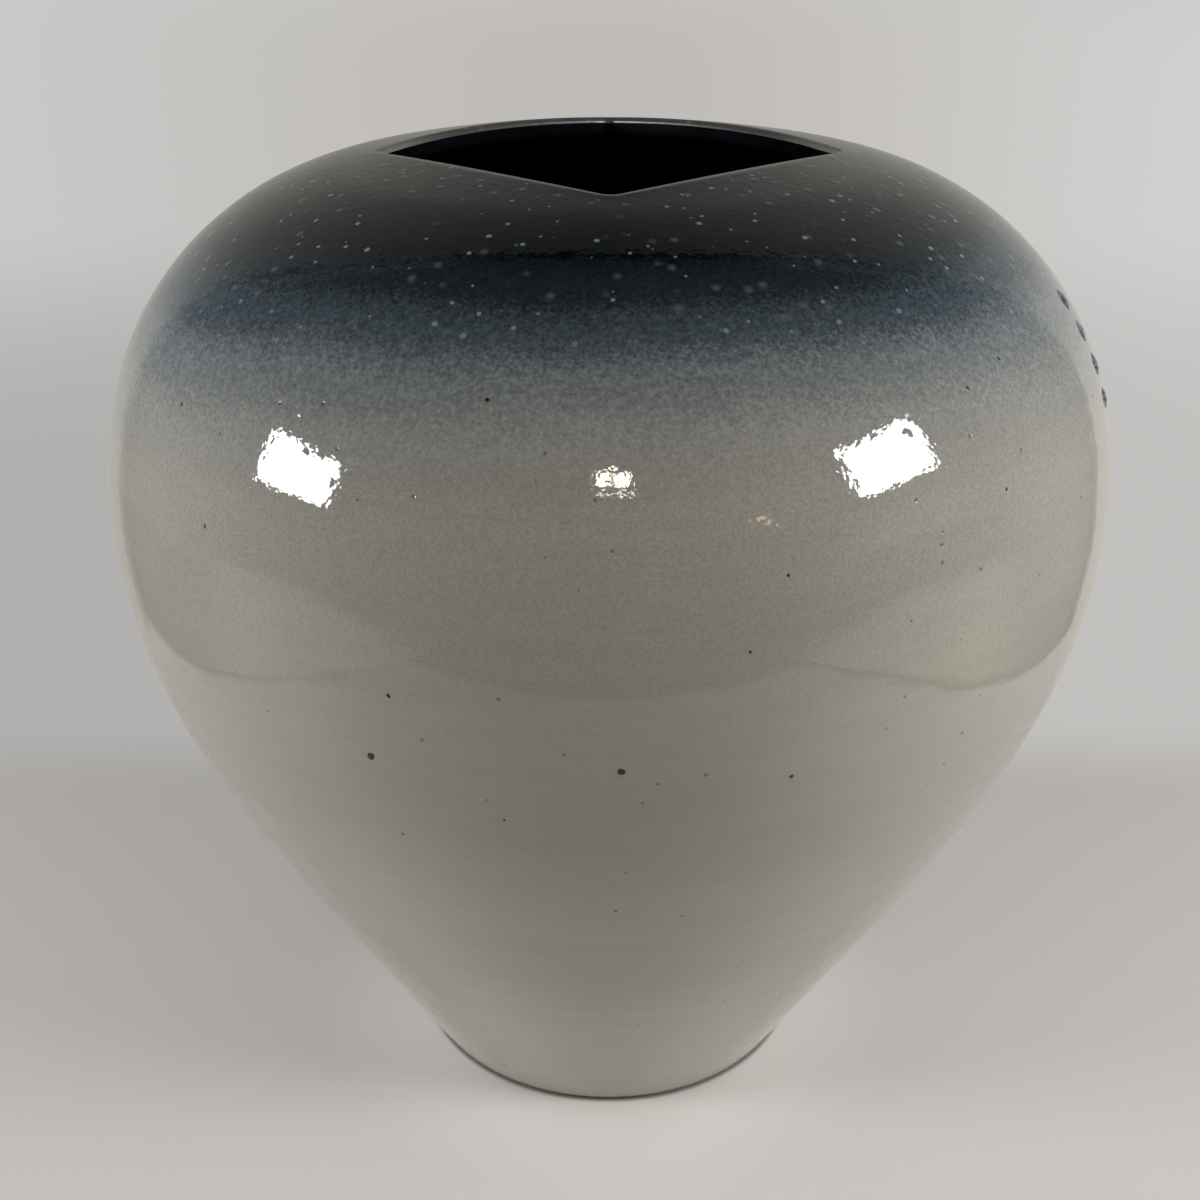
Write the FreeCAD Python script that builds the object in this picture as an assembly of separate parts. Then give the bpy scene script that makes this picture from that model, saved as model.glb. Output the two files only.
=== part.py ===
"""A broad-shouldered moon jar: two thrown bowls luted rim to rim, with a four-cornered mouth cut in the dome.

Millimetres, +Z up. The origin is the centre of the face that the jar stands on, and the front is -Y.
"""

import FreeCAD
import Part

import math
import os

from FreeCAD import Vector

# Whole jar
widest_radius = 155.0
widest_height = 203.0
crown_height = 308.6  # where the dome would close over the axis if no mouth were cut
foot_radius = 65.5
wall = 6.0

# Round stretches of the outside below the widest girth, as shares of its height
belly_lower_share = 0.788
belly_lower_turn = 22.0  # degrees
flank_bend_share = 0.181  # from the end of the belly's arc to where the flank's two tangents cross

# Round stretches of the outside above it, as shares of the rise from there to the crown
belly_upper_share = 1.25
belly_upper_turn = 13.0  # degrees
shoulder_share = 0.862

# Foot, trimmed out of the lower bowl's thick base
foot_bevel = 1.4
foot_ring_width = 9.0
recess_depth = 6.0
recess_draft = 2.0  # the recess is this much narrower at its roof than at the table
base_thickness = 9.0
floor_corner_run = 16.0  # the sloping corner inside, along the floor
floor_corner_rise = 12.0

# Joint between the two bowls
slip_thickness = 1.2
bevel_rise = 4.0  # the rims slope up this much from the outside to the inside
coil_height = 18.0
coil_crest_height = 7.0
coil_depth = 4.0
coil_margin = 3.0  # the wall stays upright this far past the coil

# Mouth, cut down through the dome
mouth_margin = 9.3  # from the mouth's corners out to the dome's edge
mouth_side_share = 0.79  # how far out the middles of the sides are, as a share of the corners' reach
mouth_corner_rounding = 4.5
lip_outer_bevel = 1.8
lip_inner_bevel = 1.0

# Slip dots, in a column on the right of the shoulder
dot_count = 4
dot_radius = 3.8
dot_thickness = 0.6
dot_azimuth = -16.0  # degrees from +X, negative towards the front
dot_lowest_angle = 18.0  # degrees of the surface's normal above level
dot_spacing = 10.4  # along the shoulder's curve

# The shoulder's curve is turned in bands that end at these shares of it, and inside each band is straight
band_shares = (0, 1 / 3, 2 / 3, 1)

# How far a cutting tool runs past the clay
overrun = 10.0

mouth_corners = 4
upward = Vector(0, 0, 1)
origin = Vector(0, 0, 0)
seam_azimuth = 135.0  # the turned surfaces start behind the left side, clear of the mouth's corners
full_turn = 360.0
same_place = 1e-4


def at_angle(centre, radius, angle):
    """The point of the half section at an angle in degrees above level around a centre."""
    bend = math.radians(angle)
    return Vector(centre.x + radius * math.cos(bend), 0, centre.z + radius * math.sin(bend))


def arc(centre, radius, first, last):
    start = at_angle(centre, radius, first)
    middle = at_angle(centre, radius, (first + last) / 2)
    end = at_angle(centre, radius, last)
    return Part.Arc(start, middle, end).toShape()


def straights(points):
    return [Part.makeLine(a, b) for a, b in zip(points, points[1:])]


# Above the widest girth, each arc is tangent to the next
crown_rise = crown_height - widest_height
belly_upper_radius = belly_upper_share * crown_rise
shoulder_radius = shoulder_share * crown_rise
belly_upper_centre = Vector(widest_radius - belly_upper_radius, 0, widest_height)
shoulder_centre = at_angle(belly_upper_centre, belly_upper_radius - shoulder_radius, belly_upper_turn)

# The dome is part of a ball on the axis, tangent to the shoulder and closing at the crown
dome_rise = crown_height - shoulder_centre.z
dome_radius = (shoulder_centre.x**2 + dome_rise**2 - shoulder_radius**2) / (2 * (dome_rise - shoulder_radius))
dome_centre = Vector(0, 0, crown_height - dome_radius)
dome_angle = math.degrees(math.atan2(shoulder_centre.z - dome_centre.z, shoulder_centre.x))
dome_edge = at_angle(dome_centre, dome_radius, dome_angle)

# The mouth stays inside the dome
mouth_corner_reach = dome_edge.x - mouth_margin
mouth_side_reach = mouth_side_share * mouth_corner_reach

# Below the widest girth, the flank runs straight from the foot up to an arc that ends on the belly's arc
belly_lower_radius = belly_lower_share * widest_height
belly_lower_centre = Vector(widest_radius - belly_lower_radius, 0, widest_height)
belly_end = at_angle(belly_lower_centre, belly_lower_radius, -belly_lower_turn)
flank_bend = flank_bend_share * widest_height
bend_point = at_angle(belly_end, flank_bend, -belly_lower_turn - 90)
flank_lean = math.atan2(foot_radius - bend_point.x, bend_point.z)
flank_angle = math.degrees(flank_lean)
flank_spread = -math.tan(flank_lean)  # how much wider the flank gets for each millimetre up
flank_radius = flank_bend / math.tan(math.radians(-flank_angle - belly_lower_turn) / 2)
flank_centre = at_angle(belly_lower_centre, belly_lower_radius - flank_radius, -belly_lower_turn)

# Heights and radii at the joint, and the outside edge of the lower bowl's rim
inner_radius = widest_radius - wall
rim_angle = -math.degrees(math.asin(slip_thickness / belly_lower_radius))
rim = at_angle(belly_lower_centre, belly_lower_radius, rim_angle)
seam_height = widest_height + bevel_rise - slip_thickness / 2  # where the slip shows inside
coil_reach = coil_height / 2 + coil_margin


def flank_point(height, inset=0):
    """A point on the straight flank, or this far inside the clay."""
    return Vector(foot_radius + flank_spread * height - inset / math.cos(flank_lean), 0, height)


def turned(edges):
    """A solid turned about the axis from the edges of a closed half section, in order."""
    solid = Part.Face(Part.Wire(edges)).revolve(origin, upward, full_turn)
    solid.rotate(origin, upward, seam_azimuth)
    return solid


def lower_bowl():
    """The lower bowl in one piece with its foot ring, standing on the ring."""
    floor_height = recess_depth + base_thickness
    ring_inner = foot_radius - foot_bevel - foot_ring_width
    corner_top = flank_point(floor_height + floor_corner_rise, wall)
    corner_foot = Vector(flank_point(floor_height, wall).x - floor_corner_run, 0, floor_height)
    outside = [
        Part.makeLine(flank_point(foot_bevel), at_angle(flank_centre, flank_radius, flank_angle)),
        arc(flank_centre, flank_radius, flank_angle, -belly_lower_turn),
        arc(belly_lower_centre, belly_lower_radius, -belly_lower_turn, rim_angle),
    ]
    inside = straights([
        rim,
        Vector(inner_radius, 0, widest_height + bevel_rise - slip_thickness),
        Vector(inner_radius, 0, seam_height - coil_reach),
        at_angle(belly_lower_centre, belly_lower_radius - wall, -belly_lower_turn),
        at_angle(flank_centre, flank_radius - wall, flank_angle),
        corner_top,
        corner_foot,
        Vector(0, 0, floor_height),
        Vector(0, 0, recess_depth),
        Vector(ring_inner - recess_draft, 0, recess_depth),
        Vector(ring_inner, 0, 0),
        Vector(foot_radius - foot_bevel, 0, 0),
        flank_point(foot_bevel),
    ])
    return turned(outside + inside)


def dome_shell():
    """The upper bowl before its mouth is cut, rim down, closed over the axis."""
    bands = [belly_upper_turn + share * (dome_angle - belly_upper_turn) for share in band_shares]
    shoulder = [arc(shoulder_centre, shoulder_radius, *ends) for ends in zip(bands, bands[1:])]
    outside = [
        arc(belly_upper_centre, belly_upper_radius, 0, belly_upper_turn),
        *shoulder,
        arc(dome_centre, dome_radius, dome_angle, 90),
    ]
    crown = [Part.makeLine(Vector(0, 0, crown_height), Vector(0, 0, crown_height - wall))]
    inside = [arc(dome_centre, dome_radius - wall, 90, dome_angle)]
    inside += straights([
        *(at_angle(shoulder_centre, shoulder_radius - wall, angle) for angle in reversed(bands)),
        Vector(inner_radius, 0, seam_height + coil_reach),
        Vector(inner_radius, 0, widest_height + bevel_rise),
        Vector(widest_radius, 0, widest_height),
    ])
    return turned(outside + crown + inside)


def mouth_cutter():
    """A four-cornered prism with bowed sides and rounded corners, its corners to the front, sides and back."""
    step = full_turn / mouth_corners
    base = Vector(0, 0, dome_edge.z - wall - overrun)
    top = Vector(0, 0, crown_height + overrun)

    def plan_point(reach, azimuth):
        turn = math.radians(azimuth)
        return base + Vector(reach * math.cos(turn), reach * math.sin(turn), 0)

    sides = []
    for azimuth in (step * count for count in range(mouth_corners)):
        start = plan_point(mouth_corner_reach, azimuth)
        middle = plan_point(mouth_side_reach, azimuth + step / 2)
        end = plan_point(mouth_corner_reach, azimuth + step)
        sides.append(Part.Arc(start, middle, end).toShape())
    prism = Part.Face(Part.Wire(sides)).extrude(top - base)
    upright = [edge for edge in prism.Edges if abs(edge.tangentAt(edge.FirstParameter).z) > 1 - same_place]
    return prism.makeFillet(mouth_corner_rounding, upright)


def mouth_edges(bowl, radius):
    """The edges that the mouth's cut makes with the ball of this radius under or over the dome."""

    def on_ball(vertex):
        return abs((vertex.Point - dome_centre).Length - radius) < same_place

    def in_mouth(vertex):
        return math.hypot(vertex.X, vertex.Y) < mouth_corner_reach + same_place

    return [edge for edge in bowl.Edges if all(on_ball(v) and in_mouth(v) for v in edge.Vertexes)]


def upper_bowl():
    """The upper bowl, upside down on the lower one, with the mouth cut in it and the cut's edges bevelled."""
    bowl = dome_shell().cut(mouth_cutter())
    bowl = bowl.makeChamfer(lip_outer_bevel, mouth_edges(bowl, dome_radius))
    return bowl.makeChamfer(lip_inner_bevel, mouth_edges(bowl, dome_radius - wall))


def joint_slip():
    """The slip that lutes the two rims, a thin sloping ring scraped flush outside and in."""
    crest = Vector(inner_radius, 0, widest_height + bevel_rise)
    section = [rim, Vector(widest_radius, 0, widest_height), crest, crest - upward * slip_thickness]
    return turned(straights(section + section[:1]))


def seam_coil():
    """The coil of clay pressed over the joint inside, flat against both walls and bevelled off."""
    inner = inner_radius - coil_depth
    section = [
        Vector(inner_radius, 0, seam_height - coil_height / 2),
        Vector(inner_radius, 0, seam_height + coil_height / 2),
        Vector(inner, 0, seam_height + coil_crest_height / 2),
        Vector(inner, 0, seam_height - coil_crest_height / 2),
    ]
    return turned(straights(section + section[:1]))


def slip_dot(number):
    """One of the small round dots of slip in a column, lying against the shoulder's curve or the dome's."""
    angle = dot_lowest_angle + math.degrees(number * dot_spacing / shoulder_radius)
    centre, radius = (dome_centre, dome_radius) if angle > dome_angle else (shoulder_centre, shoulder_radius)
    facing = FreeCAD.Rotation(upward, dot_azimuth)
    middle = facing.multVec(at_angle(centre, radius, angle))
    normal = facing.multVec(at_angle(origin, 1, angle))
    return Part.makeCylinder(dot_radius, dot_thickness, middle, normal)


def main():
    os.makedirs("parts", exist_ok=True)
    pieces = {
        "lower_bowl": lower_bowl(),
        "joint_slip": joint_slip(),
        "seam_coil": seam_coil(),
        "upper_bowl": upper_bowl(),
    }
    pieces.update((f"slip_dot_{number + 1}", slip_dot(number)) for number in range(dot_count))
    for name, shape in pieces.items():
        shape.exportStep(f"parts/{name}.step")


main()
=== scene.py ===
"""Looks for the moon jar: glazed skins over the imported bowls, on a pale table under soft lamps.

The frame is the CAD's own. The jar's lengths are in millimetres, as in the solids, and scaled by MM.
Those of the room are in metres.
"""

import bpy
import math
import numpy as np
from mathutils import Matrix, Vector


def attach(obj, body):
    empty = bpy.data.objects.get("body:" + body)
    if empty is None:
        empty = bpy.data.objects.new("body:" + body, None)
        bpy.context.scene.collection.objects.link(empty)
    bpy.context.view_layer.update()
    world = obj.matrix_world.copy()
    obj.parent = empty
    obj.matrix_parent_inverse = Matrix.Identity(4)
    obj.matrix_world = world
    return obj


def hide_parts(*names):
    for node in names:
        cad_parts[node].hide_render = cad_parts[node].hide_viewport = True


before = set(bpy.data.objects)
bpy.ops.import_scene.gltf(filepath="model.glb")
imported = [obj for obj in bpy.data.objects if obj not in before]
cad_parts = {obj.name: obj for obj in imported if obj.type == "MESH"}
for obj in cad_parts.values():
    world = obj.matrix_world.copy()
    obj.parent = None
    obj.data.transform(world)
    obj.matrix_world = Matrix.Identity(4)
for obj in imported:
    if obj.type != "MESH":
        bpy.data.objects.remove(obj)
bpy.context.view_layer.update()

MM = 0.001
quarter = math.pi / 2
rng = np.random.default_rng(11)
scene = bpy.context.scene

# The jar's outline, as in the solids
widest_radius, widest_height, crown_height = 155.0, 203.0, 308.6
foot_radius, wall = 65.5, 6.0
belly_lower_radius, belly_lower_turn = 0.788 * widest_height, math.radians(22)
flank_bend = 0.181 * widest_height
crown_rise = crown_height - widest_height
belly_upper_radius, belly_upper_turn = 1.25 * crown_rise, math.radians(13)
shoulder_radius = 0.862 * crown_rise
foot_bevel, foot_ring_width, recess_depth, recess_draft = 1.4, 9.0, 6.0, 2.0
floor_height, floor_corner_run, floor_corner_rise = 15.0, 16.0, 12.0
bevel_rise, slip_thickness = 4.0, 1.2
mouth_margin, mouth_side_share, mouth_corner_rounding = 9.3, 0.79, 4.5

# Roundings that only the skins have
lip_outer, lip_inner = 1.9, 1.2
recess_rounding, ring_rounding = 2.0, 0.9

# How far apart the rings of the skins are, and the small circle that one face closes, underneath and inside
outside_step, inside_step, trimmed_step = 1.5, 4.0, 1.2
closing_radius = 2.0


def at(centre, radius, angle):
    """A point of the half section, radius then height, at an angle above level around a centre."""
    return np.array([centre[0] + radius * math.cos(angle), centre[1] + radius * math.sin(angle)])


belly_upper_centre = np.array([widest_radius - belly_upper_radius, widest_height])
shoulder_centre = at(belly_upper_centre, belly_upper_radius - shoulder_radius, belly_upper_turn)
dome_rise = crown_height - shoulder_centre[1]
dome_radius = shoulder_centre[0]**2 + dome_rise**2 - shoulder_radius**2
dome_radius /= 2 * (dome_rise - shoulder_radius)
dome_centre = np.array([0.0, crown_height - dome_radius])
dome_angle = math.atan2(shoulder_centre[1] - dome_centre[1], shoulder_centre[0])
dome_edge = at(dome_centre, dome_radius, dome_angle)
belly_lower_centre = np.array([widest_radius - belly_lower_radius, widest_height])
belly_end = at(belly_lower_centre, belly_lower_radius, -belly_lower_turn)
bend_point = at(belly_end, flank_bend, -belly_lower_turn - quarter)
flank_angle = math.atan2(foot_radius - bend_point[0], bend_point[1])
flank_spread = -math.tan(flank_angle)
flank_radius = flank_bend / math.tan((-flank_angle - belly_lower_turn) / 2)
flank_centre = at(belly_lower_centre, belly_lower_radius - flank_radius, -belly_lower_turn)
mouth_corner_reach = dome_edge[0] - mouth_margin
mouth_side_reach = mouth_side_share * mouth_corner_reach


def along_arc(centre, radius, first, last, step):
    count = max(2, round(abs(radius * (last - first)) / step))
    return [at(centre, radius, first + (last - first) * i / count) for i in range(count)]


def along_line(start, end, step):
    count = max(1, round(float(np.linalg.norm(end - start)) / step))
    return [start + (end - start) * i / count for i in range(count)]


def rounded(start, corner, end, count):
    """Points of a curve between two ends that bends towards a corner."""
    start, corner, end = np.array(start), np.array(corner), np.array(end)
    shares = np.linspace(0, 1, count)
    return [(1 - share)**2 * start + 2 * share * (1 - share) * corner + share**2 * end for share in shares]


def outline(offset, step):
    """The outside from the foot to the dome's edge, moved into the clay, in two lists split at the joint."""
    flank_top = at(flank_centre, flank_radius - offset, flank_angle)
    foot = np.array([foot_radius - offset / math.cos(flank_angle), 0.0])
    low = along_line(foot, flank_top, step)
    low += along_arc(flank_centre, flank_radius - offset, flank_angle, -belly_lower_turn, step)
    low += along_arc(belly_lower_centre, belly_lower_radius - offset, -belly_lower_turn, 0, step)
    high = along_arc(belly_upper_centre, belly_upper_radius - offset, 0, belly_upper_turn, step)
    high += along_arc(shoulder_centre, shoulder_radius - offset, belly_upper_turn, dome_angle, step)
    return low, high


# Azimuths, closer together at the mouth's four corners
AZIMUTHS = 512
corner_gathering = 0.12
even = np.arange(AZIMUTHS) * 2 * math.pi / AZIMUTHS
azimuth = even - corner_gathering * np.sin(4 * even)


def mouth_distance(radius, angle):
    """How far a point of the plan lies outside the mouth's outline, negative inside it."""
    corner, side = mouth_corner_reach, mouth_side_reach
    bow = (corner**2 - math.sqrt(2) * corner * side + side**2) / (2 * (side - corner / math.sqrt(2)))
    centre = (side - bow) / math.sqrt(2)
    inner = bow - mouth_corner_rounding
    tip = centre + math.sqrt(inner**2 - centre**2)
    folded = np.abs((angle + quarter / 2) % quarter - quarter / 2)
    x, y = radius * np.cos(folded), radius * np.sin(folded)
    beyond = np.arctan2(y - centre, x - centre) < math.atan2(-centre, tip - centre)
    to_tip = np.hypot(x - tip, y)
    to_side = np.hypot(x - centre, y - centre) - inner
    return np.where(beyond, to_tip, to_side) - mouth_corner_rounding


def mouth_radius(distance, halvings=40):
    """The radius at each azimuth where the mouth's outline, moved outwards by a distance, is met."""
    low, high = np.full(AZIMUTHS, 20.0), np.full(AZIMUTHS, 90.0)
    for _ in range(halvings):
        middle = (low + high) / 2
        outside = mouth_distance(middle, azimuth) > distance
        low, high = np.where(outside, low, middle), np.where(outside, middle, high)
    return (low + high) / 2


def ball_height(radius, offset):
    return dome_centre[1] + np.sqrt((dome_radius - offset)**2 - radius**2)


# The jar is one sheet of rings, from the middle underneath, over the outside, in at the mouth, to the floor
CLAY, GLAZE, LINER = 0, 1, 2
ring_radius, ring_height, ring_kind, ring_lip, ring_marked = [], [], [], [], []


def ring(radius, height, kind, lip=0.0, marked=0.0):
    """Adds a ring: its material, how near the lip it is, and its share of the thrower's marks."""
    ring_radius.append(np.broadcast_to(np.asarray(radius, float), (AZIMUTHS,)))
    ring_height.append(np.broadcast_to(np.asarray(height, float), (AZIMUTHS,)))
    ring_kind.append(kind)
    ring_lip.append(lip)
    ring_marked.append(marked)


# Underneath: the recess with its trimming marks, and the foot ring with its edges rounded
ring_inner = foot_radius - foot_bevel - foot_ring_width
recess_edge = ring_inner - recess_draft
trimmed_depth, trimmed_wave, trimmed_slope, trimmed_lift = 0.12, 1.7, 0.0006, 0.15
for radius in np.arange(closing_radius, recess_edge - recess_rounding, trimmed_step):
    trimmed = trimmed_depth * math.sin(radius * trimmed_wave) - trimmed_lift + trimmed_slope * radius
    ring(radius, recess_depth + trimmed, CLAY)
for turn in np.linspace(0, quarter, 6):
    inwards, upwards = recess_rounding * (math.sin(turn) - 1), recess_rounding * (math.cos(turn) - 1)
    ring(recess_edge + inwards, recess_depth + upwards, CLAY)
ring(recess_edge + recess_draft * 0.6, recess_depth * 0.4, CLAY)
for turn in np.linspace(0, quarter, 5):
    ring(ring_inner + ring_rounding * (1 - math.cos(turn)), ring_rounding * (1 - math.sin(turn)), CLAY)
flat_inner, flat_outer = ring_inner + 2, foot_radius - foot_bevel - 1.4
for radius in np.linspace(flat_inner, flat_outer, 6):
    ring(radius, 0.0, CLAY)
glaze_foot = foot_bevel * 1.6
foot_edge = rounded(
    (flat_outer + 0.8, 0.0),
    (foot_radius - 0.25, 0.05),
    (foot_radius + flank_spread * glaze_foot, glaze_foot),
    count=7,
)
for number, (radius, height) in enumerate(foot_edge):
    ring(radius, height, CLAY if number < 5 else GLAZE)

# Outside, up to the joint and over the shoulder to the dome's edge
marks_start, bevel_clearance = 6.0, 0.8
low, high = outline(0.0, outside_step)
for radius, height in low:
    if height > glaze_foot + bevel_clearance:
        ring(radius, height, GLAZE, marked=min(1.0, (height - glaze_foot) / marks_start))
joint_outside = len(ring_radius)
for radius, height in high:
    ring(radius, height, GLAZE, marked=1.0)
outside_end = len(ring_radius)

# The dome, from its edge in to the mouth's rounded lip
lip_start = mouth_radius(lip_outer)
for share in np.linspace(0, 1, 15)[:-1]:
    radius = dome_edge[0] + (lip_start - dome_edge[0]) * share
    ring(radius, ball_height(radius, 0), GLAZE, lip=max(0.0, 8 * share - 7) * 0.5, marked=1.0 - share**2)
for turn in np.linspace(0, quarter, 9):
    radius = mouth_radius(lip_outer * (1 - math.sin(turn)))
    ring(radius, ball_height(radius, 0) - lip_outer * (1 - math.cos(turn)), GLAZE, lip=1.0)
opening = mouth_radius(0.0)
top, bottom = ball_height(opening, lip_outer), ball_height(opening, wall - lip_inner)
for share in (0.3, 0.7, 1.0):
    ring(opening, top + (bottom - top) * share, LINER)
for turn in np.linspace(0.3, quarter, 5):
    radius = mouth_radius(lip_inner * (1 - math.cos(turn)))
    ring(radius, ball_height(radius, wall) + lip_inner * (1 - math.sin(turn)), LINER)

# Inside, down to the floor
inner_start = mouth_radius(lip_inner)
for share in (0.15, 0.35, 0.6, 0.8):
    radius = inner_start + (dome_edge[0] - 1.0 - inner_start) * share
    ring(radius, ball_height(radius, wall), LINER)
low_inside, high_inside = outline(wall, inside_step)
for radius, height in reversed(high_inside):
    ring(radius, height, LINER)
joint_inside = len(ring_radius)
corner_top = floor_height + floor_corner_rise
for radius, height in reversed(low_inside):
    if height > corner_top + inside_step / 2:
        ring(radius, height, LINER)
corner_radius = foot_radius + flank_spread * floor_height - wall / math.cos(flank_angle)
floor_corner = rounded(
    (corner_radius + flank_spread * floor_corner_rise, corner_top),
    (corner_radius, floor_height + 0.3),
    (corner_radius - floor_corner_run, floor_height),
    count=9,
)
for radius, height in floor_corner:
    ring(radius, height, LINER)
for radius in np.arange(corner_radius - floor_corner_run - inside_step, closing_radius, -inside_step):
    ring(radius, floor_height, LINER)
ring(closing_radius, floor_height, LINER)

# The thrower's marks: a spiral of shallow rings, deeper low down, and a slow unevenness, only into the clay
radii, heights = np.array(ring_radius), np.array(ring_height)
marked = np.array(ring_marked)[:, None]
walked = np.concatenate([[0], np.cumsum(np.hypot(np.diff(radii[:, 0]), np.diff(heights[:, 0])))])[:, None]
angle = azimuth[None, :]
deepest_height, shallow_height = 20, 110
low_down = np.clip((shallow_height - heights) / (shallow_height - deepest_height), 0, 1)
spiral_pitch, broad_pitch = 6.3, 23
least_depth, broad_depth, slow_depth, ripple_depth = 0.03, 0.05, 0.12, 0.008
spiral_depth = 0.012 + 0.028 * low_down
wander = 0.9 * np.sin(2 * angle + walked / 31)
spiral = 0.5 + 0.5 * np.sin(2 * math.pi * walked / spiral_pitch + angle + wander)
broad = 0.5 + 0.5 * np.sin(2 * math.pi * walked / broad_pitch - angle + 0.7 * np.sin(walked / 17))
slow = 0.5 + 0.25 * np.sin(3 * angle + walked / 37) + 0.25 * np.sin(5 * angle - walked / 23 + 1.3)
ripple = 0.5 + 0.25 * np.sin(11 * angle + walked / 9.0) + 0.25 * np.sin(17 * angle - walked / 7.0 + 2)
depth = least_depth + spiral_depth * spiral + broad_depth * broad + slow_depth * slow + ripple_depth * ripple
depth = depth * marked
slope = np.arctan2(np.gradient(heights, axis=0), np.gradient(radii, axis=0))
radii = radii - depth * np.sin(slope)
heights = heights + depth * np.cos(slope)

points = np.stack([radii * np.cos(angle), radii * np.sin(angle), heights], axis=2) * MM
across = np.roll(points, -1, axis=1) - np.roll(points, 1, axis=1)
along = np.gradient(points, axis=0)
normals = np.cross(across, along)
normals /= np.maximum(np.linalg.norm(normals, axis=2, keepdims=True), 1e-12)


def new_piece(mesh):
    """A piece in the scene with this mesh and its name."""
    piece = bpy.data.objects.new(mesh.name, mesh)
    scene.collection.objects.link(piece)
    return piece


def skin_piece(name, spans, materials, caps=()):
    """Some of the sheet's rings. Each span is a run of rings, and caps are rings closed with one face."""
    verts, norms, faces, kinds, lips = [], [], [], [], []
    place = {}
    column = np.arange(AZIMUTHS)
    following = (column + 1) % AZIMUTHS
    for first, last in spans:
        for i in range(first, last + 1):
            place[i] = len(verts) * AZIMUTHS
            verts.append(points[i])
            norms.append(normals[i])
            lips.append(np.full(AZIMUTHS, ring_lip[i]))
        for i in range(first, last):
            near, far = place[i], place[i + 1]
            kind = max(ring_kind[i], ring_kind[i + 1]) if i < joint_outside else ring_kind[i + 1]
            faces.append(np.stack([near + column, near + following, far + following, far + column], axis=1))
            kinds.append(np.full(AZIMUTHS, kind))
    quads = np.concatenate(faces).tolist()
    kinds = np.concatenate(kinds).tolist()
    for i, flip in caps:
        loop = (place[i] + column).tolist()
        quads.append(loop[::-1] if flip else loop)
        kinds.append(ring_kind[i])
    mesh = bpy.data.meshes.new(name)
    mesh.from_pydata(np.concatenate(verts).tolist(), [], quads)
    mesh.polygons.foreach_set("use_smooth", [True] * len(quads))
    mesh.polygons.foreach_set("material_index", kinds)
    lip = mesh.attributes.new("lip", "FLOAT", "POINT")
    lip.data.foreach_set("value", np.concatenate(lips).astype(np.float32))
    for shading in materials:
        mesh.materials.append(shading)
    mesh.normals_split_custom_set_from_vertices(np.concatenate(norms).tolist())
    return new_piece(mesh)


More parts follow.
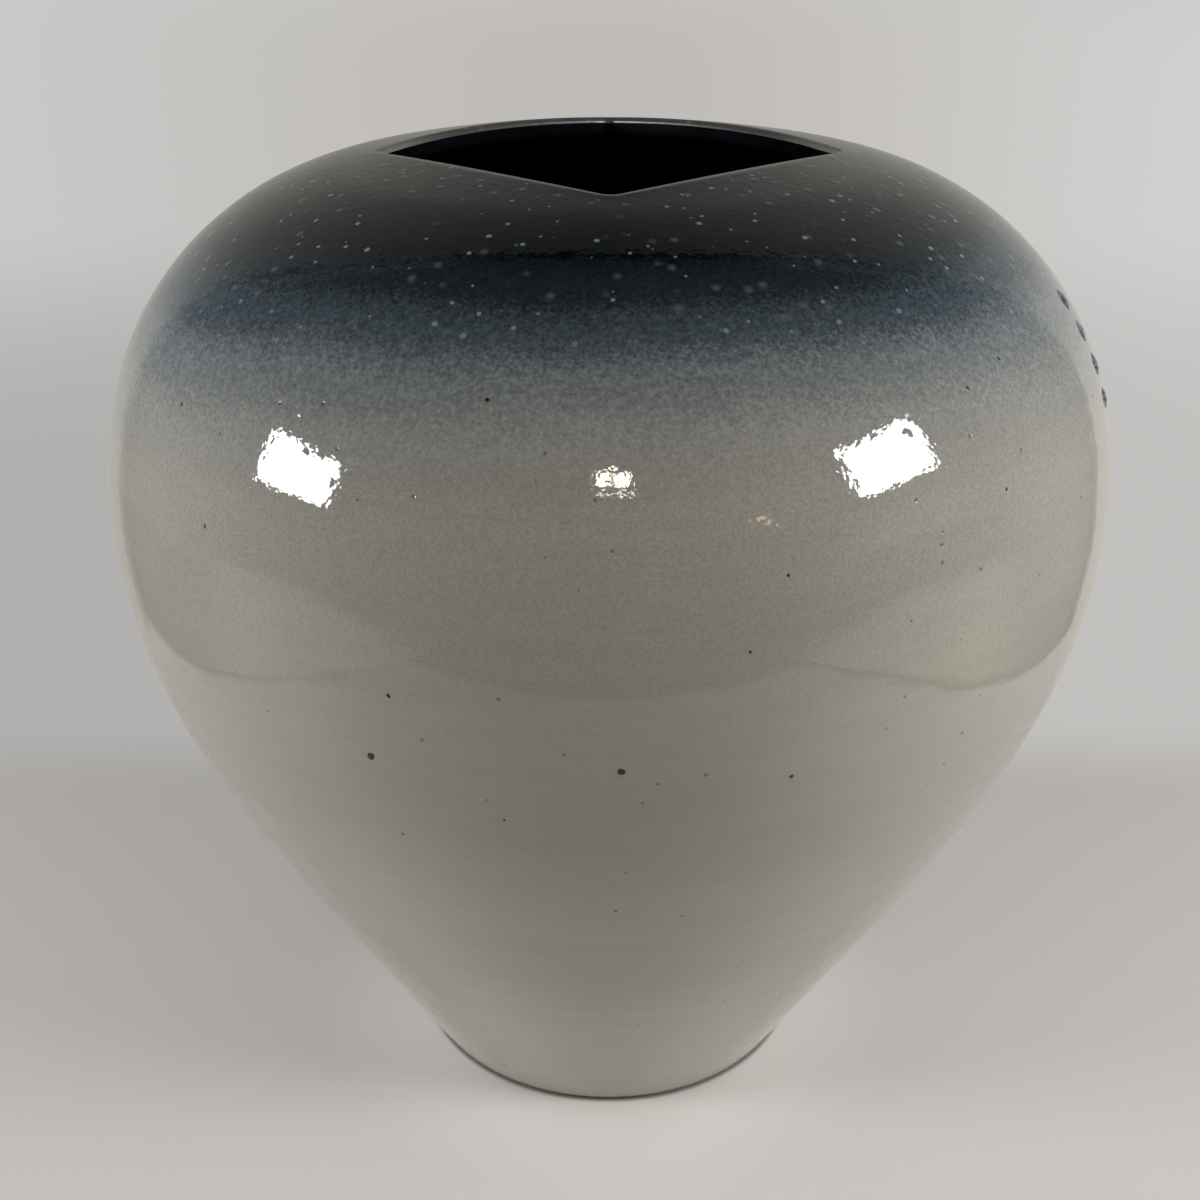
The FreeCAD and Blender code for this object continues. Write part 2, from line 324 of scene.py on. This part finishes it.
class Nodes:
    """A short way to write the nodes of a material or of the world."""

    def __init__(self, tree):
        self.tree = tree
        tree.nodes.clear()

    def feed(self, socket, value):
        """Links an input to an output, or gives it a plain value."""
        if isinstance(value, bpy.types.NodeSocket):
            self.tree.links.new(value, socket)
        else:
            socket.default_value = value

    def add(self, kind, inputs=(), **settings):
        made = self.tree.nodes.new(f"ShaderNode{kind}")
        for key, value in settings.items():
            setattr(made, key, value)
        for key, value in dict(inputs).items():
            self.feed(made.inputs[key], value)
        return made

    def math(self, operation, first, *others):
        """One operation over its values, from the first to the last."""
        for other in others:
            first = self.add("Math", {0: first, 1: other}, operation=operation).outputs[0]
        return first

    def plus(self, *values):
        return self.math("ADD", *values)

    def minus(self, first, second):
        return self.math("SUBTRACT", first, second)

    def times(self, *values):
        return self.math("MULTIPLY", *values)

    def above(self, value, least):
        return self.math("GREATER_THAN", value, least)

    def size(self, value):
        """A value without its sign."""
        return self.add("Math", {0: value}, operation="ABSOLUTE").outputs[0]

    def reach(self, x, y):
        """The distance from the jar's axis."""
        total = self.plus(self.math("POWER", x, 2.0), self.math("POWER", y, 2.0))
        return self.add("Math", {0: total}, operation="SQRT").outputs[0]

    def range(self, value, low, high, to_low=0.0, to_high=1.0, smooth=True):
        kind = "SMOOTHSTEP" if smooth else "LINEAR"
        inputs = {"Value": value, "From Min": low, "From Max": high, "To Min": to_low, "To Max": to_high}
        return self.add("MapRange", inputs, interpolation_type=kind).outputs[0]

    def object_place(self):
        return self.add("TexCoord").outputs["Object"]

    def split(self, vector):
        """The three parts of a vector."""
        return list(self.add("SeparateXYZ", {"Vector": vector}).outputs)

    def scene_place(self):
        """The three parts of a point's place in the scene."""
        return self.split(self.add("NewGeometry").outputs["Position"])

    def noise(self, vector, scale, detail=2.0, rough=0.5):
        inputs = {"Vector": vector, "Scale": scale, "Detail": detail, "Roughness": rough}
        return self.add("TexNoise", inputs).outputs[0]

    def sway(self, noise, amount):
        """A noise about nothing, of this width."""
        return self.times(self.minus(noise, 0.5), amount)

    def cells(self, vector, scale):
        """The distance from the middle of a scattered cell, and three values drawn for that cell."""
        made = self.add("TexVoronoi", {"Vector": vector, "Scale": scale}).outputs
        return made["Distance"], list(self.add("SeparateColor", {0: made["Color"]}).outputs)

    def mix(self, factor, first, second, blend="MIX"):
        inputs = {0: factor, 6: first, 7: second}
        return self.add("Mix", inputs, data_type="RGBA", blend_type=blend).outputs[2]

    def shade(self, base, noise, darkest, palest, amount=1.0):
        """A colour made darker and paler by a noise."""
        tone = self.range(noise, 0.3, 0.7, darkest, palest)
        tone = self.add("CombineColor", {0: tone, 1: tone, 2: tone}).outputs[0]
        return self.mix(amount, base, tone, "MULTIPLY")

    def ramp(self, factor, stops, interpolation="EASE"):
        made = self.add("ValToRGB", {"Fac": factor})
        made.color_ramp.interpolation = interpolation
        elements = made.color_ramp.elements
        while len(elements) < len(stops):
            elements.new(0.5)
        for element, (position, tone) in zip(elements, stops):
            element.position = position
            element.color = (*tone[:3], 1)
        return made.outputs[0]

    def bump(self, height, distance, strength=1.0):
        return self.add("Bump", {"Strength": strength, "Distance": distance, "Height": height}).outputs[0]

    def coat(self, base, roughness, **inputs):
        """A plain shader, and its other inputs where they aren't the usual ones."""
        return self.add("BsdfPrincipled", {"Base Color": base, "Roughness": roughness, **inputs}).outputs[0]

    def glow(self, tone, strength=1.0, kind="Emission"):
        return self.add(kind, {"Color": tone, "Strength": strength}).outputs[0]

    def ray(self, kind):
        return self.add("LightPath").outputs[f"Is {kind} Ray"]

    def blend(self, factor, first, second):
        return self.add("MixShader", {0: factor, 1: first, 2: second}).outputs[0]

    def show(self, shader, kind="Material"):
        self.add(f"Output{kind}", {"Surface": shader})


def material(name):
    made = bpy.data.materials.new(name)
    made.use_nodes = True
    return made, Nodes(made.node_tree)


def grey(level, warm=0.0):
    """A linear colour from a display level of 0 to 255, a little warmer or cooler."""
    value = ((level / 255 + 0.055) / 1.055)**2.4 if level > 10 else level / 255 / 12.92
    return (value * (1 + warm), value, value * (1 - warm), 1)


def colour(red, green, blue):
    """A linear colour from three display levels of 0 to 255."""
    return (*(grey(level)[1] for level in (red, green, blue)), 1)


def glaze_level(n, x, y, z):
    """Degrees above the widest girth, seen from its middle, shifted at the left and right sides, and raised
    to the left as painted shade.
    """
    reach = n.reach(x, y)
    level = n.math("ARCTAN2", n.minus(z, widest_height * MM), reach)
    level = n.times(level, 180 / math.pi)
    aside = n.math("POWER", n.math("DIVIDE", x, reach), 2.0)
    level = n.plus(level, n.times(aside, 3.6))
    level = n.minus(level, n.times(n.minus(level, 24.0), n.times(aside, 0.28)))
    # Raised to the left, so the glaze turns darker there: painted shade on the jar's left side.
    return n.minus(level, n.times(x, 9.0))


def glaze_colour(n, place, level):
    """Pale grey below, nearly black on top, with level streaks, fine mottling, blotches and wide patches."""
    x, y, z = n.split(place)
    moved = n.plus(
        level,
        n.sway(n.noise(place, 14.0, 3.0, 0.55), 4.0),
        n.sway(n.noise(place, 160.0, 4.0, 0.6), 1.6),
        n.sway(n.noise(place, 1100.0, 2.0, 0.65), 7.0),
    )
    lowest, highest = -75.0, 65.0
    tones = {
        -72: (166, 162, 149),
        -35: (155, 151, 139),
        -10: (143, 138, 126),
        15: (139, 134, 124),
        21: (127, 125, 118),
        27: (101, 104, 104),
        32: (58, 66, 71),
        37: (22, 30, 35),
        42: (6, 11, 14),
        60: (5, 6, 7),
    }
    stops = [((degrees - lowest) / (highest - lowest), colour(*tone)) for degrees, tone in tones.items()]
    base = n.ramp(n.range(moved, lowest, highest, smooth=False), stops)
    stretch = 0.07
    level_only = n.add("CombineXYZ", {0: n.times(x, stretch), 1: n.times(y, stretch), 2: z}).outputs[0]
    base = n.shade(base, n.noise(level_only, 190.0, 4.0, 0.6), 0.975, 1.025)
    base = n.shade(base, n.noise(place, 1200.0, 3.0, 0.75), 0.84, 1.12, n.range(level, -15.0, 20.0, 0.2, 1.0))
    base = n.shade(base, n.noise(place, 620.0, 3.0, 0.7), 0.62, 1.36, n.range(level, 14.0, 36.0))
    patches = n.range(n.noise(place, 9.0, 2.0, 0.5), 0.35, 0.65)
    return n.mix(n.times(patches, 0.10), base, colour(150, 156, 150), "MULTIPLY")


def glaze_pinholes(n, place, level):
    """Small dark holes in the pale glaze, in few of the cells."""
    distance, drawn = n.cells(place, 260.0)
    hole = n.times(n.range(distance, 0.10, 0.17, 1.0, 0.0), n.above(drawn[0], 0.93))
    return n.times(hole, n.range(level, 34.0, 24.0, 0.0, 1.0))


def glaze_bubble_glints(n, place, dark_part):
    """Bubbles of many sizes in the dark glaze, painted pale as glints."""
    distance, drawn = n.cells(place, 210.0)
    least = 0.12
    size = n.range(drawn[1], least, 1.0, 0.02, 0.17, smooth=False)
    bubble_glint = n.range(n.minus(distance, size), -0.04, 0.04, 1.0, 0.0)
    return n.times(bubble_glint, n.above(drawn[1], least), dark_part)


def glaze_knobs_and_sheen(n, place):
    """Small bumps of the clay under the glaze, also used to paint a pale sheen on them."""
    distance, drawn = n.cells(place, 140.0)
    return n.times(n.range(distance, 0.0, 0.25, 1.0, 0.0), n.above(drawn[2], 0.15))


def glaze_material():
    """Dark glaze over the shoulder that pales downwards, with pinholes, bubbles painted pale as glints, and
    bumps with a painted sheen.
    """
    made, n = material("jar_glaze")
    place = n.object_place()
    x, y, z = n.split(place)
    level = glaze_level(n, x, y, z)
    dark_part = n.range(level, 26.0, 36.0)
    hole = glaze_pinholes(n, place, level)
    bubble_glint = glaze_bubble_glints(n, place, dark_part)
    knob_and_sheen = glaze_knobs_and_sheen(n, place)
    base = glaze_colour(n, place, level)
    base = n.mix(n.times(hole, 0.55), base, colour(40, 38, 34))
    # Bubbles painted pale in the dark glaze: painted glints.
    base = n.mix(n.times(bubble_glint, 0.45), base, colour(150, 160, 165))
    # Knobs painted paler in the dark glaze: a painted sheen on their tops.
    base = n.mix(n.times(knob_and_sheen, dark_part, 0.28), base, colour(120, 116, 110))

    # The glaze runs thin and pale over the lip's edge, less at the back
    lip = n.add("Attribute", attribute_name="lip").outputs["Fac"]
    uneven = n.range(n.noise(place, 420.0, 3.0, 0.6), 0.2, 0.5, 0.55, 0.9)
    thin = n.times(n.range(lip, 0.0, 0.8), uneven, n.range(y, 0.0, 0.03, 1.0, 0.3))
    base = n.mix(thin, base, colour(113, 113, 107))

    # Heights in millimetres: orange peel, a wide swell, fine grain, bubbles, bumps and pinholes
    height = n.plus(
        n.times(n.noise(place, 330.0, 2.0, 0.45), n.range(level, 32.0, 46.0, 0.030, 0.090)),
        n.times(n.noise(place, 95.0, 1.0, 0.4), 0.040),
        n.times(n.noise(place, 560.0, 1.0, 0.5), n.range(level, -20.0, 40.0, 0.004, 0.044)),
        n.times(bubble_glint, 0.05),
        n.times(knob_and_sheen, n.range(level, -5.0, 34.0, 0.03, 0.11)),
    )
    normal = n.bump(n.minus(height, n.times(hole, 0.06)), MM)
    n.show(n.coat(base, n.range(lip, 0.0, 0.8, 0.045, 0.28), IOR=1.52, Normal=normal))
    return made


def liner_material():
    """Black glaze inside, with a blue cast where it is thin."""
    made, n = material("liner_glaze")
    place = n.object_place()
    cloud = n.noise(place, 60.0, 3.0, 0.6)
    base = n.ramp(cloud, [(0.35, colour(3, 4, 5)), (0.7, colour(7, 9, 14))])
    normal = n.bump(n.noise(place, 180.0, 2.0, 0.5), 0.05 * MM)
    n.show(n.coat(base, 0.16, IOR=1.45, Normal=normal))
    return made


def clay_material():
    """Bare stoneware at the foot, warm grey with dark grit."""
    made, n = material("bare_clay")
    place = n.object_place()
    grit = n.noise(place, 1500.0, 1.0, 0.5)
    cloud = n.noise(place, 90.0, 4.0, 0.6)
    base = n.ramp(cloud, [(0.3, colour(150, 137, 118)), (0.7, colour(173, 161, 142))])
    base = n.mix(n.range(grit, 0.62, 0.72), base, colour(95, 80, 64))
    n.show(n.coat(base, 0.85, Normal=n.bump(grit, 0.15 * MM, 0.6)))
    return made


def spot_material():
    """Iron spots that melted into the glaze, nearly black with some rust."""
    made, n = material("iron_spot")
    cloud = n.noise(n.object_place(), 1400.0, 2.0, 0.6)
    base = n.ramp(cloud, [(0.35, colour(14, 12, 11)), (0.7, colour(40, 34, 28))])
    n.show(n.coat(base, 0.3))
    return made


def dot_material():
    """Dark slip under the glaze, bluish and uneven."""
    made, n = material("dot_slip")
    place = n.object_place()
    cloud = n.noise(place, 700.0, 3.0, 0.6)
    base = n.ramp(cloud, [(0.35, colour(52, 60, 66)), (0.7, colour(104, 112, 116))])
    n.show(n.coat(base, 0.1, IOR=1.52, Normal=n.bump(n.noise(place, 900.0), 0.03 * MM)))
    return made


# The two bowls: each takes its rings of the sheet, split at the joint outside and in
clay, glaze, liner = clay_material(), glaze_material(), liner_material()
last_ring = len(radii) - 1
lower_spans = [(0, joint_outside), (joint_inside, last_ring)]
lower_caps = [(0, True), (last_ring, False)]
lower = skin_piece("lower_bowl_glazed", lower_spans, [clay, glaze, liner], lower_caps)
upper = skin_piece("upper_bowl_glazed", [(joint_outside, joint_inside)], [clay, glaze, liner])
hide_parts("lower_bowl", "joint_slip")
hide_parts("upper_bowl")
for piece in (lower, upper):
    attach(piece, "root")


def surface_point(height, turn):
    """A point on the outside at a height and at degrees round from the front, with its normal."""
    around = math.radians(turn - 90)
    column = int(np.argmin(np.abs((azimuth - around + math.pi) % (2 * math.pi) - math.pi)))
    gaps = np.where(marked[:outside_end, 0] > 0, np.abs(heights[:outside_end, column] - height), np.inf)
    row = int(np.argmin(gaps))
    radius = math.hypot(*points[row, column, :2])
    middle = Vector((radius * math.cos(around), radius * math.sin(around), points[row, column, 2]))
    return middle, Vector(normals[row, column])


def blob(verts, faces, middle, normal, radius, rise, sink, sides, rings, wobble):
    """Adds a low rounded cap, its rim sunk under the surface, to a list of vertices and faces."""
    side = normal.orthogonal().normalized()
    other = normal.cross(side)
    start = len(verts)
    shape = 1 + wobble * rng.uniform(-1, 1, sides)
    verts.append(middle + normal * rise)
    for i in range(1, rings + 1):
        share = i / rings
        lift = rise * math.cos(share * quarter) - sink * share**3
        for j in range(sides):
            turn = 2 * math.pi * j / sides
            reach = radius * share * (1 + (shape[j] - 1) * share)
            out = side * (reach * math.cos(turn)) + other * (reach * math.sin(turn))
            verts.append(middle + out + normal * lift)
    for j in range(sides):
        following = (j + 1) % sides
        faces.append((start, start + 1 + j, start + 1 + following))
        for i in range(rings - 1):
            near, far = start + 1 + i * sides, start + 1 + (i + 1) * sides
            faces.append((near + j, far + j, far + following, near + following))


def small_piece(name, verts, faces, shading):
    mesh = bpy.data.meshes.new(name)
    mesh.from_pydata([tuple(v) for v in verts], [], faces)
    mesh.polygons.foreach_set("use_smooth", [True] * len(faces))
    mesh.materials.append(shading)
    piece = new_piece(mesh)
    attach(piece, "root")
    return piece


# Iron spots: height, degrees round from the front and radius. The front's are placed, the rest are a scatter
spots = [
    (177.5, -23.2, 1.55), (181.0, 0.9, 1.5), (197.3, -20.5, 0.85), (175.4, 17.1, 0.85), (267.2, -12.4, 0.8),
    (266.0, 46.5, 0.7), (262.9, 39.6, 0.75), (128.3, 0.6, 0.7), (75.1, 14.8, 0.7), (61.0, 5.1, 0.8),
    (163.4, -10.3, 0.65), (212.5, 12.2, 0.6), (230.4, 15.7, 0.6), (254.0, -50.5, 0.7), (251.0, -42.5, 0.6),
    (228.0, -42.5, 0.75), (238.1, 41.4, 0.7), (52.0, 3.0, 0.55), (244.0, -24.0, 0.5),
]
scattered = 34
scatter_low, scatter_high = 30, 262
scatter_first, scatter_last = 62, 298
spot_sizes, spot_shares = [0.5, 0.6, 0.8, 1.1], [0.4, 0.3, 0.2, 0.1]
spot_rise, spot_sink = 0.06 * MM, 0.08 * MM
for _ in range(scattered):
    height = rng.uniform(scatter_low, scatter_high)
    turn = rng.uniform(scatter_first, scatter_last)
    spots.append((height, turn, rng.choice(spot_sizes, p=spot_shares)))
verts, faces = [], []
for height, turn, size in spots:
    middle, normal = surface_point(height, turn)
    blob(verts, faces, middle, normal, size * MM, spot_rise, spot_sink, sides=12, rings=3, wobble=0.22)
small_piece("iron_spots", verts, faces, spot_material())

# Slip dots: soft dabs over the solids' flat discs
dot_look = dot_material()
dot_lowest, dot_spacing, dot_turn = 18.0, 10.4, 74.0
dab_radius, dab_rise, dab_sink = 4.1 * MM, 0.75 * MM, 0.35 * MM
for number in range(4):
    tilt = math.radians(dot_lowest) + number * dot_spacing / shoulder_radius
    middle, normal = surface_point(at(shoulder_centre, shoulder_radius, tilt)[1], dot_turn)
    verts, faces = [], []
    blob(verts, faces, middle, normal, dab_radius, dab_rise, dab_sink, sides=40, rings=9, wobble=0.04)
    dot = small_piece(f"slip_dab_{number + 1}", verts, faces, dot_look)
    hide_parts(f"slip_dot_{number + 1}")

# The coil over the joint inside, pressed round by fingers
seam_height = widest_height + bevel_rise - slip_thickness / 2
coil_steps = 16
coil_foot, coil_depth, coil_reach = widest_radius - wall + 0.3, 4.2, 8.9
coil_roundness = 0.8
pressed = 0.175 * np.sin(37 * azimuth) + 0.1 * np.sin(23 * azimuth + 1)
verts, faces = [], []
for step in range(coil_steps + 1):
    turn = math.pi * step / coil_steps
    radius = coil_foot - (coil_depth + pressed) * math.sin(turn)**coil_roundness
    height = np.full(AZIMUTHS, seam_height - coil_reach * math.cos(turn))
    verts.append(np.stack([radius * np.cos(azimuth), radius * np.sin(azimuth), height], axis=1) * MM)
for step in range(coil_steps):
    near = step * AZIMUTHS + np.arange(AZIMUTHS)
    near_next = step * AZIMUTHS + (np.arange(AZIMUTHS) + 1) % AZIMUTHS
    faces.append(np.stack([near, near + AZIMUTHS, near_next + AZIMUTHS, near_next], axis=1))
verts, faces = np.concatenate(verts), np.concatenate(faces).tolist()
coil = small_piece("pressed_coil", verts, faces, liner)
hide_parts("seam_coil")

# Camera: the photograph's place and pitch, with no shift. The focal length is in pixels of the frame
frame_pixels, focal_pixels, film_width = 1200, 1604, 36.0
camera_aside, camera_back, camera_height, pitch_down = -2.8, 489.6, 380.7, 24.63
camera = bpy.data.objects.new("camera", bpy.data.cameras.new("camera"))
scene.collection.objects.link(camera)
camera.location = (camera_aside * MM, -camera_back * MM, camera_height * MM)
camera.rotation_euler = (math.radians(90 - pitch_down), 0, 0)
camera.data.sensor_width = film_width
camera.data.lens = focal_pixels / frame_pixels * film_width
camera.data.clip_start, camera.data.clip_end = 0.01, 100
scene.camera = camera
scene.view_settings.view_transform = "Standard"

# What the glaze mirrors of the room: its cool dimness, and what lies past the table
cool = (0.85, 0.97, 1, 1)
dark_surroundings, pale_surroundings = (0.05, 0.05, 0.05, 1), (0.72, 0.68, 0.60, 1)

# The table's edges, and how softly they end
table_middle, table_half, table_front = -0.006, 0.378, -0.500
side_softness, front_softness = 0.010, 0.012

# How far from the jar the table begins to fade into the backdrop, and where only the backdrop is seen
fade_start, fade_end = 0.34, 0.7
back_fade_start, back_fade_end = 0.125, 0.200


def staged_sheet(name, corners, shading):
    """A flat face of the set."""
    mesh = bpy.data.meshes.new(name)
    mesh.from_pydata(corners, [], [tuple(range(len(corners)))])
    mesh.materials.append(shading)
    piece = new_piece(mesh)
    return piece


def table_paint_and_shade(n, reach):
    """The table's colour with painted shade: a little darker away from the jar, and a painted shadow under
    the foot and just round it.
    """
    # Painted shade: the table darkens away from the jar.
    shaded_paint = n.ramp(n.range(reach, 0.07, fade_start, smooth=False), [
        (0.0, grey(196, 0.06)), (0.17, grey(185, 0.06)), (1.0, grey(174, 0.07))])
    # Painted contact shadow round the foot.
    contact_shadow = n.range(reach, foot_radius * MM, (foot_radius + 2) * MM, 0.75, 0.0)
    return n.mix(contact_shadow, shaded_paint, colour(60, 52, 42))


def backdrop_tones(n, x, y, reach):
    """The wall behind the table, with painted light and shade: darker to the left and paler to the right low
    down, and paler at both sides higher up.
    """
    aside = n.range(n.math("DIVIDE", x, n.plus(n.size(y), 0.49)), -0.4, 0.4, smooth=False)
    low_tones = n.ramp(aside, [(0.0, grey(176, 0.025)), (0.5, grey(180, 0.03)), (1.0, grey(193, 0.025))])
    high_tones = n.ramp(aside, [(0.0, grey(200, 0.02)), (0.5, grey(187, 0.04)), (1.0, grey(208, 0.02))])
    tones = n.mix(n.range(reach, 0.68, 1.55), low_tones, high_tones)
    return n.mix(n.range(reach, 3.0, 8.0), tones, grey(200, 0.02))


def surroundings_tones(n, x, y):
    """What the glaze mirrors past the table's edges: dark in front, and pale beyond the two sides."""
    side = n.size(x)
    across = n.times(n.range(side, 0.390, 0.405), n.range(side, 0.85, 1.3, 1.0, 0.0))
    along = n.times(n.range(y, -0.66, -0.48), n.range(y, 0.06, -0.20, 0.0, 1.0))
    return n.mix(n.times(across, along), dark_surroundings, pale_surroundings)


def floor_material():
    """A pale matte table that fades into a plain wall. Mirrored in the glaze, it ends at its edges."""
    made, n = material("pale_floor")
    x, y, _ = n.scene_place()
    reach = n.reach(x, y)
    table = n.coat(table_paint_and_shade(n, reach), 0.6)
    backdrop = n.glow(backdrop_tones(n, x, y, reach))
    fade = n.math("MAXIMUM", n.range(reach, fade_start, fade_end), n.range(y, back_fade_start, back_fade_end))
    shown = n.blend(n.times(fade, n.minus(1.0, n.ray("Diffuse"))), table, backdrop)
    past_side = n.range(n.size(n.minus(x, table_middle)), table_half, table_half + side_softness)
    past_front = n.range(y, table_front, table_front - front_softness)
    beyond = n.times(n.math("MAXIMUM", past_side, past_front), n.ray("Glossy"))
    n.show(n.blend(beyond, shown, n.glow(surroundings_tones(n, x, y))))
    return made


floor_half = 30
floor_corners = [(-floor_half, -floor_half, 0), (floor_half, -floor_half, 0), (floor_half, floor_half, 0),
                 (-floor_half, floor_half, 0)]
staged_sheet("floor", floor_corners, floor_material())


def wall_material():
    """The pale wall that the glaze mirrors: brighter low down and to its sides, dimmer at the upper right."""
    made, n = material("back_wall")
    x, _, z = n.scene_place()
    tones = n.ramp(n.range(z, 0.0, 0.9, smooth=False), [
        (0.0, (0.27, 0.26, 0.245)),
        (0.2, (0.29, 0.28, 0.262)),
        (0.35, (0.27, 0.26, 0.24)),
        (0.49, (0.17, 0.163, 0.152)),
        (0.6, (0.140, 0.134, 0.125)),
        (0.75, (0.100, 0.097, 0.092)),
        (1.0, (0.085, 0.082, 0.080)),
    ], "LINEAR")
    to_left = n.times(n.range(x, -0.24, 0.0, 1.6, 1.0), n.range(x, -0.375, -0.33, 0.5, 1.0))
    to_right = n.range(x, 0.0, 0.24, 1.0, 2.0)
    corner = n.times(n.range(x, 0.20, 0.46), n.range(z, 0.42, 0.58, 0.0, 0.35))
    n.show(n.glow(tones, n.times(to_left, to_right, n.minus(1.0, corner))))
    return made


def wall_line_material():
    """A line round the wall, dim low down and dark at the top."""
    made, n = material("back_wall_line")
    height = n.scene_place()[2]
    n.show(n.glow(cool, n.range(height, 0.56, 0.36, 0.0, 0.16)))
    return made


def wall_edge_material():
    """The dim room next to the wall, dark in the middle."""
    made, n = material("back_wall_edge")
    away = n.size(n.scene_place()[0])
    n.show(n.glow(cool, n.range(away, 0.10, 0.36, 0.0, 0.20)))
    return made


# The wall behind the jar, met by mirrored rays only: three sheets, each wider and farther than the last
wall_top = [(-0.37, 0.45), (-0.36, 0.59), (-0.345, 0.675), (-0.29, 0.765), (-0.20, 0.785), (0.0, 0.80),
            (0.13, 0.79), (0.22, 0.765), (0.315, 0.70), (0.365, 0.628), (0.385, 0.50)]
for shading, distance, half_width, wider, taller in (
    (wall_material(), 0.18, 0.37, 1.0, 1.0),
    (wall_line_material(), 0.185, 0.38, 1.035, 1.04),
    (wall_edge_material(), 0.19, 0.40, 1.15, 1.16),
):
    foot = [(half_width, distance, 0.0), (-half_width, distance, 0.0)]
    arch = [(x * wider, distance, z * taller) for x, z in wall_top]
    mirrored_wall = staged_sheet(shading.name, foot + arch, shading)
    for flag in ("camera", "diffuse", "transmission", "volume_scatter", "shadow"):
        setattr(mirrored_wall, f"visible_{flag}", False)


def lamp(name, centre, across, up, radiance, tint=(1, 1, 1)):
    """A rectangular lamp that faces the jar, by its centre, whole side vectors and how bright its face is."""
    centre, across, up = Vector(centre), Vector(across), Vector(up)
    data = bpy.data.lights.new(name, "AREA")
    data.shape = "RECTANGLE"
    data.size, data.size_y = across.length, up.length
    data.energy = radiance * math.pi * across.length * up.length
    data.color = tint
    made = bpy.data.objects.new(name, data)
    scene.collection.objects.link(made)
    across = across.normalized()
    back = across.cross(up.normalized()).normalized()
    if back.dot(-centre) > 0:
        back, across = -back, -across
    turn = Matrix((across, back.cross(across), back)).transposed()
    made.matrix_world = Matrix.Translation(centre) @ turn.to_4x4()
    made.visible_camera = False
    return made


cream, honey, amber, bluish = (1.0, 0.95, 0.80), (1.0, 0.92, 0.75), (1.0, 0.62, 0.36), (0.95, 1.0, 1.08)
lamp("left_lamp", (-0.811, -0.357, 0.463), (0.090, -0.275, 0.013), (0.049, 0.028, 0.184), 25.5)
lamp("right_lamp", (0.742, -0.424, 0.562), (0.124, 0.281, -0.002), (-0.074, 0.041, 0.194), 29.5)
for name, side, radiance in (("side_fill_left", -1, 3.0), ("side_fill_right", 1, 3.15)):
    fill = lamp(name, (side * 0.60, 0, 0.37), (0, 0.7, 0), (0, 0, 0.55), radiance, bluish)
    fill.visible_glossy = False
lamp("small_lamp_left", (-0.016, -0.648, 0.579), (0.034, 0, 0), (0, 0.018, 0.028), 30, cream)
lamp("small_lamp_right", (0.026, -0.648, 0.575), (0.036, 0, 0), (0, 0.022, 0.034), 30, cream)
lamp("small_lamp_low", (0.010, -0.648, 0.520), (0.080, 0, 0), (0, 0.003, 0.006), 22, honey)
lamp("warm_lamp", (0.348, -0.632, 0.400), (0.024, 0.013, -0.007), (0, 0.007, 0.020), 9, amber)


def make_world():
    """Pale to the camera, soft light for the surfaces, and a dark room in front to the mirroring glaze."""
    world = bpy.data.worlds.new("studio")
    world.use_nodes = True
    scene.world = world
    n = Nodes(world.node_tree)
    x, y, z = n.split(n.add("TexCoord").outputs["Generated"])
    back = n.range(y, -0.5, 0.6)
    front_right = n.times(
        n.range(x, 0.70, 0.86),
        n.range(z, 0.30, 0.02, 0.0, 0.5),
        n.range(y, 0.0, -0.35, 0.0, 1.0),
    )
    mirrored = n.plus(n.times(back, 0.04), n.plus(front_right, 0.03))
    soft = n.glow((1, 0.98, 0.95, 1), n.times(back, 0.06), "Background")
    mirror = n.glow(cool, mirrored, "Background")
    shown = n.glow(grey(200, 0.01), 1.0, "Background")
    lit = n.blend(n.ray("Glossy"), soft, mirror)
    n.show(n.blend(n.ray("Camera"), lit, shown), "World")


make_world()
